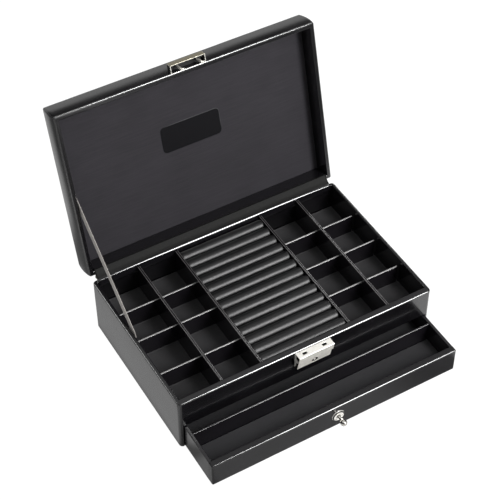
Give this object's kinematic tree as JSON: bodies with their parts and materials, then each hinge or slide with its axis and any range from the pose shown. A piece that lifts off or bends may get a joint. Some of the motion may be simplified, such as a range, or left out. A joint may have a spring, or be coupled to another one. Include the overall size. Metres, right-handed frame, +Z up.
{
  "type": "ring case",
  "caption": "Hinged leather-covered case with a pocket tray and a bed of ring rolls over a pull-out drawer, closed by a small key lock.",
  "frame": {"origin": "middle of the base's underside, on the surface that it stands on", "axes": "+X to the right along the front, +Y to the back, +Z up; the front with the lock and the drawer faces -Y"},
  "size_m": [0.29, 0.3296, 0.2564],
  "materials": {
    "black_leather": "satin grained",
    "board": "raw grey board",
    "bottom_paper": "matt",
    "lid_velvet": "matt fine weave",
    "tray_cloth": "matt fine nap",
    "drawer_cloth": "matt fine nap",
    "roll_cloth": "soft sheen",
    "label": "smooth",
    "stay_strap": "smooth, light",
    "hinge_cloth": "satin",
    "nickel": "polished nickel",
    "steel": "plain steel"
  },
  "bodies": {
    "base": {"base_board_back": "board", "base_board_front": "board", "base_board_left": "board", "base_board_right": "board", "base_bottom": "bottom_paper", "base_leather": "black_leather", "divider_cross_1": "tray_cloth", "divider_cross_2": "tray_cloth", "divider_cross_3": "tray_cloth", "divider_cross_4": "tray_cloth", "divider_cross_5": "tray_cloth", "divider_cross_6": "tray_cloth", "divider_long_1": "tray_cloth", "divider_long_2": "tray_cloth", "divider_long_3": "tray_cloth", "divider_long_4": "tray_cloth", "hinge_leaf_base": "steel", "hinge_pin": "steel", "hinge_strip": "hinge_cloth", "lid_stay": "stay_strap", "lock_case": "nickel", "lock_frame": "steel", "ring_bed": "roll_cloth", "ring_roll_01": "roll_cloth", "ring_roll_02": "roll_cloth", "ring_roll_03": "roll_cloth", "ring_roll_04": "roll_cloth", "ring_roll_05": "roll_cloth", "ring_roll_06": "roll_cloth", "ring_roll_07": "roll_cloth", "ring_roll_08": "roll_cloth", "ring_roll_09": "roll_cloth", "ring_roll_10": "roll_cloth", "ring_roll_11": "roll_cloth", "ring_roll_12": "roll_cloth", "ring_roll_13": "roll_cloth", "shelf": "tray_cloth", "tray_lining": "tray_cloth"},
    "lid": {"catch_bracket": "nickel", "catch_hooks": "nickel", "hinge_leaf_lid": "steel", "label_plaque": "label", "lid_board_top": "board", "lid_frame": "board", "lid_leather": "black_leather", "lid_lining": "lid_velvet"},
    "drawer": {"drawer_back": "drawer_cloth", "drawer_bottom": "drawer_cloth", "drawer_divider_strip": "drawer_cloth", "drawer_front_board": "board", "drawer_front_leather": "black_leather", "drawer_pad_back": "tray_cloth", "drawer_pad_front": "tray_cloth", "drawer_side_left": "drawer_cloth", "drawer_side_right": "drawer_cloth", "knob": "nickel", "knob_rosette": "nickel"},
    "lock_bolt_body": {"lock_bolt": "steel"},
    "lock_cam_body": {"lock_cam": "steel"}
  },
  "joints": [
    {"name": "lid_hinge", "type": "hinge", "parent": "base", "child": "lid", "pos_m": [0, 0.095, 0.06615], "axis": [1, 0, 0], "range_deg": [0, 104.5], "deforming": ["lid_stay", "hinge_strip"]},
    {"name": "drawer_slide", "type": "slide", "parent": "base", "child": "drawer", "axis": [0, -1, 0], "range_m": [-0.0548, 0.075]},
    {"name": "lock_key_turn", "type": "hinge", "parent": "base", "child": "lock_cam_body", "pos_m": [0.0028, -0.09826, 0.05066], "axis": [0, -0.9771, -0.2128], "range_deg": [0, 22.4]},
    {"name": "lock_bolt_slide", "type": "slide", "parent": "base", "child": "lock_bolt_body", "axis": [-1, 0, 0], "range_m": [0, 0.0018]}
  ],
  "couplings": [
    {"joint": "lock_key_turn", "follows": "lock_bolt_slide", "rad_per_m": 217}
  ]
}
